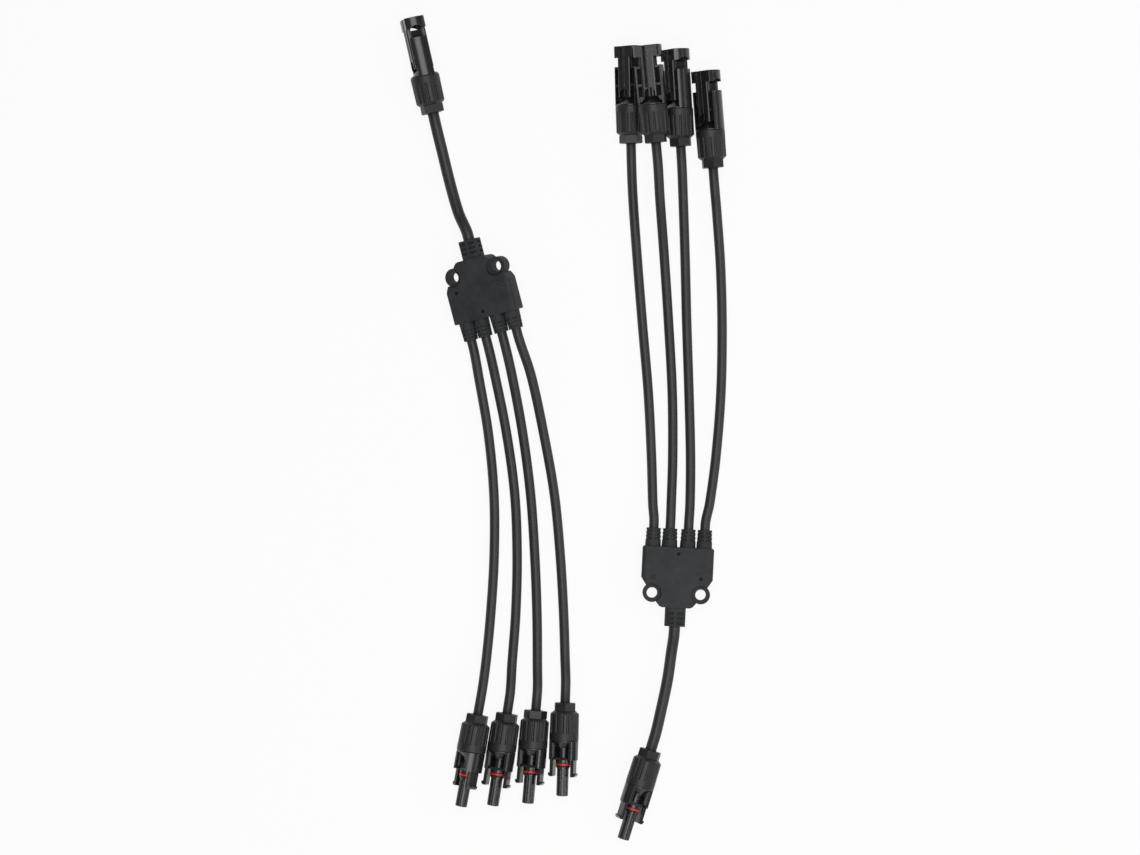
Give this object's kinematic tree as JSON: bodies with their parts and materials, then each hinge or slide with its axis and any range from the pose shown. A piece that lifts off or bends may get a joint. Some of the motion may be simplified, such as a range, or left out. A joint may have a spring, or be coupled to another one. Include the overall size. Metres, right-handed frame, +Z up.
{
  "type": "solar cable connector",
  "caption": "Pair of moulded branch connectors for solar panel leads: latching plugs and sockets on short cables that join in flat blocks with screw eyelets.",
  "frame": {"origin": "middle of the pair's outline, on the surface that it lies on", "axes": "+Z up; +Y along the length, towards the four sockets; +X from harness A to harness B"},
  "size_m": [0.2146, 0.5403, 0.0349],
  "materials": {
    "block_moulding": "fine matt moulded texture",
    "nut_plastic": "fine matt moulded texture",
    "body_plastic": "smooth moulded, half gloss",
    "cage_plastic": "plain moulded",
    "cable_jacket": "smooth matt extruded jacket",
    "seal_rubber": "matt rubber",
    "o_ring_rubber": "red silicone rubber",
    "contact_metal": "tin plated copper alloy",
    "copper": "bare copper"
  },
  "bodies": {
    "root": {"block_a": "block_moulding", "block_b": "block_moulding", "splice_a": "copper", "splice_b": "copper", "conductors_a": "copper", "conductors_b": "copper", "cable_a1": "cable_jacket", "cable_a2": "cable_jacket", "cable_a3": "cable_jacket", "cable_a4": "cable_jacket", "cable_b1": "cable_jacket", "cable_b2": "cable_jacket", "cable_b3": "cable_jacket", "cable_b4": "cable_jacket", "cable_a_trunk": "cable_jacket", "cable_b_trunk": "cable_jacket", "plug_body_a1": "body_plastic", "plug_body_a2": "body_plastic", "plug_body_a3": "body_plastic", "plug_body_a4": "body_plastic", "plug_body_b": "body_plastic", "socket_body_a": "body_plastic", "socket_body_b1": "body_plastic", "socket_body_b2": "body_plastic", "socket_body_b3": "body_plastic", "socket_body_b4": "body_plastic", "tube_contacts": "contact_metal", "pin_contacts": "contact_metal", "o_rings": "o_ring_rubber", "cable_seals": "seal_rubber"},
    "plug_a1_cage": {"plug_cage_a1": "cage_plastic"},
    "plug_a1_nut": {"plug_nut_a1": "nut_plastic"},
    "plug_a2_cage": {"plug_cage_a2": "cage_plastic"},
    "plug_a2_nut": {"plug_nut_a2": "nut_plastic"},
    "plug_a3_cage": {"plug_cage_a3": "cage_plastic"},
    "plug_a3_nut": {"plug_nut_a3": "nut_plastic"},
    "plug_a4_cage": {"plug_cage_a4": "cage_plastic"},
    "plug_a4_nut": {"plug_nut_a4": "nut_plastic"},
    "plug_b_cage": {"plug_cage_b": "cage_plastic"},
    "plug_b_nut": {"plug_nut_b": "nut_plastic"},
    "socket_a_cage": {"socket_cage_a": "cage_plastic"},
    "socket_a_nut": {"socket_nut_a": "nut_plastic"},
    "socket_b1_cage": {"socket_cage_b1": "cage_plastic"},
    "socket_b1_nut": {"socket_nut_b1": "nut_plastic"},
    "socket_b2_cage": {"socket_cage_b2": "cage_plastic"},
    "socket_b2_nut": {"socket_nut_b2": "nut_plastic"},
    "socket_b3_cage": {"socket_cage_b3": "cage_plastic"},
    "socket_b3_nut": {"socket_nut_b3": "nut_plastic"},
    "socket_b4_cage": {"socket_cage_b4": "cage_plastic"},
    "socket_b4_nut": {"socket_nut_b4": "nut_plastic"},
    "latch_right_a1": {"latch_right_a1": "body_plastic"},
    "latch_left_a1": {"latch_left_a1": "body_plastic"},
    "latch_right_a2": {"latch_right_a2": "body_plastic"},
    "latch_left_a2": {"latch_left_a2": "body_plastic"},
    "latch_right_a3": {"latch_right_a3": "body_plastic"},
    "latch_left_a3": {"latch_left_a3": "body_plastic"},
    "latch_right_a4": {"latch_right_a4": "body_plastic"},
    "latch_left_a4": {"latch_left_a4": "body_plastic"},
    "latch_right_b": {"latch_right_b": "body_plastic"},
    "latch_left_b": {"latch_left_b": "body_plastic"}
  },
  "joints": [
    {"name": "plug_a1_nut_travel", "type": "slide", "parent": "root", "child": "plug_a1_cage", "axis": [0.1805, 0.9836, 0], "range_m": [0, 0.003]},
    {"name": "plug_a1_nut_turn", "type": "hinge", "parent": "plug_a1_cage", "child": "plug_a1_nut", "pos_m": [-0.05832, -0.2005, 0.0096], "axis": [0.1805, 0.9836, 0], "range_deg": [0, 720]},
    {"name": "plug_a2_nut_travel", "type": "slide", "parent": "root", "child": "plug_a2_cage", "axis": [0.1547, 0.988, 0], "range_m": [0, 0.003]},
    {"name": "plug_a2_nut_turn", "type": "hinge", "parent": "plug_a2_cage", "child": "plug_a2_nut", "pos_m": [-0.0388, -0.19975, 0.0096], "axis": [0.1547, 0.988, 0], "range_deg": [0, 720]},
    {"name": "plug_a3_nut_travel", "type": "slide", "parent": "root", "child": "plug_a3_cage", "axis": [0.0854, 0.9963, 0], "range_m": [0, 0.003]},
    {"name": "plug_a3_nut_turn", "type": "hinge", "parent": "plug_a3_cage", "child": "plug_a3_nut", "pos_m": [-0.01915, -0.19786, 0.0096], "axis": [0.0854, 0.9963, 0], "range_deg": [0, 720]},
    {"name": "plug_a4_nut_travel", "type": "slide", "parent": "root", "child": "plug_a4_cage", "axis": [0.0332, 0.9995, 0], "range_m": [0, 0.003]},
    {"name": "plug_a4_nut_turn", "type": "hinge", "parent": "plug_a4_cage", "child": "plug_a4_nut", "pos_m": [0.00069, -0.19289, 0.0096], "axis": [0.0332, 0.9995, 0], "range_deg": [0, 720]},
    {"name": "plug_b_nut_travel", "type": "slide", "parent": "root", "child": "plug_b_cage", "axis": [0.2957, 0.9553, 0], "range_m": [0, 0.003]},
    {"name": "plug_b_nut_turn", "type": "hinge", "parent": "plug_b_cage", "child": "plug_b_nut", "pos_m": [0.05346, -0.22335, 0.0096], "axis": [0.2957, 0.9553, 0], "range_deg": [0, 720]},
    {"name": "socket_a_nut_travel", "type": "slide", "parent": "root", "child": "socket_a_cage", "axis": [0.2215, -0.9751, 0], "range_m": [0, 0.003]},
    {"name": "socket_a_nut_turn", "type": "hinge", "parent": "socket_a_cage", "child": "socket_a_nut", "pos_m": [-0.08812, 0.21769, 0.0096], "axis": [0.2215, -0.9751, 0], "range_deg": [0, 720]},
    {"name": "socket_b1_nut_travel", "type": "slide", "parent": "root", "child": "socket_b1_cage", "axis": [0.0244, -0.9997, 0], "range_m": [0, 0.003]},
    {"name": "socket_b1_nut_turn", "type": "hinge", "parent": "socket_b1_cage", "child": "socket_b1_nut", "pos_m": [0.04395, 0.1981, 0.0096], "axis": [0.0244, -0.9997, 0], "range_deg": [0, 720]},
    {"name": "socket_b2_nut_travel", "type": "slide", "parent": "root", "child": "socket_b2_cage", "axis": [0.0941, -0.9956, 0], "range_m": [0, 0.003]},
    {"name": "socket_b2_nut_turn", "type": "hinge", "parent": "socket_b2_cage", "child": "socket_b2_nut", "pos_m": [0.05914, 0.19754, 0.0253], "axis": [0.0941, -0.9956, 0], "range_deg": [0, 720]},
    {"name": "socket_b3_nut_travel", "type": "slide", "parent": "root", "child": "socket_b3_cage", "axis": [0.061, -0.9981, 0], "range_m": [0, 0.003]},
    {"name": "socket_b3_nut_turn", "type": "hinge", "parent": "socket_b3_cage", "child": "socket_b3_nut", "pos_m": [0.07605, 0.19618, 0.0096], "axis": [0.061, -0.9981, 0], "range_deg": [0, 720]},
    {"name": "socket_b4_nut_travel", "type": "slide", "parent": "root", "child": "socket_b4_cage", "axis": [0.0785, -0.9969, 0], "range_m": [0, 0.003]},
    {"name": "socket_b4_nut_turn", "type": "hinge", "parent": "socket_b4_cage", "child": "socket_b4_nut", "pos_m": [0.09703, 0.18206, 0.0096], "axis": [0.0785, -0.9969, 0], "range_deg": [0, 720]},
    {"name": "latch_right_a1_flex", "type": "hinge", "parent": "root", "child": "latch_right_a1", "pos_m": [-0.0592, -0.22575, 0.01433], "axis": [0.7751, -0.1423, -0.6157], "range_deg": [0, 6], "stiffness_Nm_per_rad": 0.05},
    {"name": "latch_left_a1_flex", "type": "hinge", "parent": "root", "child": "latch_left_a1", "pos_m": [-0.06647, -0.22442, 0.00487], "axis": [-0.7751, 0.1423, 0.6157], "range_deg": [0, 6], "stiffness_Nm_per_rad": 0.05},
    {"name": "latch_right_a2_flex", "type": "hinge", "parent": "root", "child": "latch_right_a2", "pos_m": [-0.0371, -0.22532, 0.01165], "axis": [0.3379, -0.0529, -0.9397], "range_deg": [0, 6], "stiffness_Nm_per_rad": 0.05},
    {"name": "latch_left_a2_flex", "type": "hinge", "parent": "root", "child": "latch_left_a2", "pos_m": [-0.04824, -0.22358, 0.00755], "axis": [-0.3379, 0.0529, 0.9397], "range_deg": [0, 6], "stiffness_Nm_per_rad": 0.05},
    {"name": "latch_right_a3_flex", "type": "hinge", "parent": "root", "child": "latch_right_a3", "pos_m": [-0.01574, -0.22324, 0.01185], "axis": [0.3732, -0.032, -0.9272], "range_deg": [0, 6], "stiffness_Nm_per_rad": 0.05},
    {"name": "latch_left_a3_flex", "type": "hinge", "parent": "root", "child": "latch_left_a3", "pos_m": [-0.02683, -0.22229, 0.00735], "axis": [-0.3732, 0.032, 0.9272], "range_deg": [0, 6], "stiffness_Nm_per_rad": 0.05},
    {"name": "latch_right_a4_flex", "type": "hinge", "parent": "root", "child": "latch_right_a4", "pos_m": [0.00557, -0.21807, 0.01145], "axis": [0.3088, -0.0102, -0.9511], "range_deg": [0, 6], "stiffness_Nm_per_rad": 0.05},
    {"name": "latch_left_a4_flex", "type": "hinge", "parent": "root", "child": "latch_left_a4", "pos_m": [-0.00584, -0.21769, 0.00775], "axis": [-0.3088, 0.0102, 0.9511], "range_deg": [0, 6], "stiffness_Nm_per_rad": 0.05},
    {"name": "latch_right_b_flex", "type": "hinge", "parent": "root", "child": "latch_right_b", "pos_m": [0.05118, -0.24881, 0.00688], "axis": [-0.4337, 0.1342, -0.891], "range_deg": [0, 6], "stiffness_Nm_per_rad": 0.05},
    {"name": "latch_left_b_flex", "type": "hinge", "parent": "root", "child": "latch_left_b", "pos_m": [0.04096, -0.24565, 0.01232], "axis": [0.4337, -0.1342, 0.891], "range_deg": [0, 6], "stiffness_Nm_per_rad": 0.05}
  ],
  "couplings": [
    {"joint": "plug_a1_nut_turn", "follows": "plug_a1_nut_travel", "rad_per_m": 4188.8},
    {"joint": "plug_a2_nut_turn", "follows": "plug_a2_nut_travel", "rad_per_m": 4188.8},
    {"joint": "plug_a3_nut_turn", "follows": "plug_a3_nut_travel", "rad_per_m": 4188.8},
    {"joint": "plug_a4_nut_turn", "follows": "plug_a4_nut_travel", "rad_per_m": 4188.8},
    {"joint": "plug_b_nut_turn", "follows": "plug_b_nut_travel", "rad_per_m": 4188.8},
    {"joint": "socket_a_nut_turn", "follows": "socket_a_nut_travel", "rad_per_m": 4188.8},
    {"joint": "socket_b1_nut_turn", "follows": "socket_b1_nut_travel", "rad_per_m": 4188.8},
    {"joint": "socket_b2_nut_turn", "follows": "socket_b2_nut_travel", "rad_per_m": 4188.8},
    {"joint": "socket_b3_nut_turn", "follows": "socket_b3_nut_travel", "rad_per_m": 4188.8},
    {"joint": "socket_b4_nut_turn", "follows": "socket_b4_nut_travel", "rad_per_m": 4188.8}
  ]
}
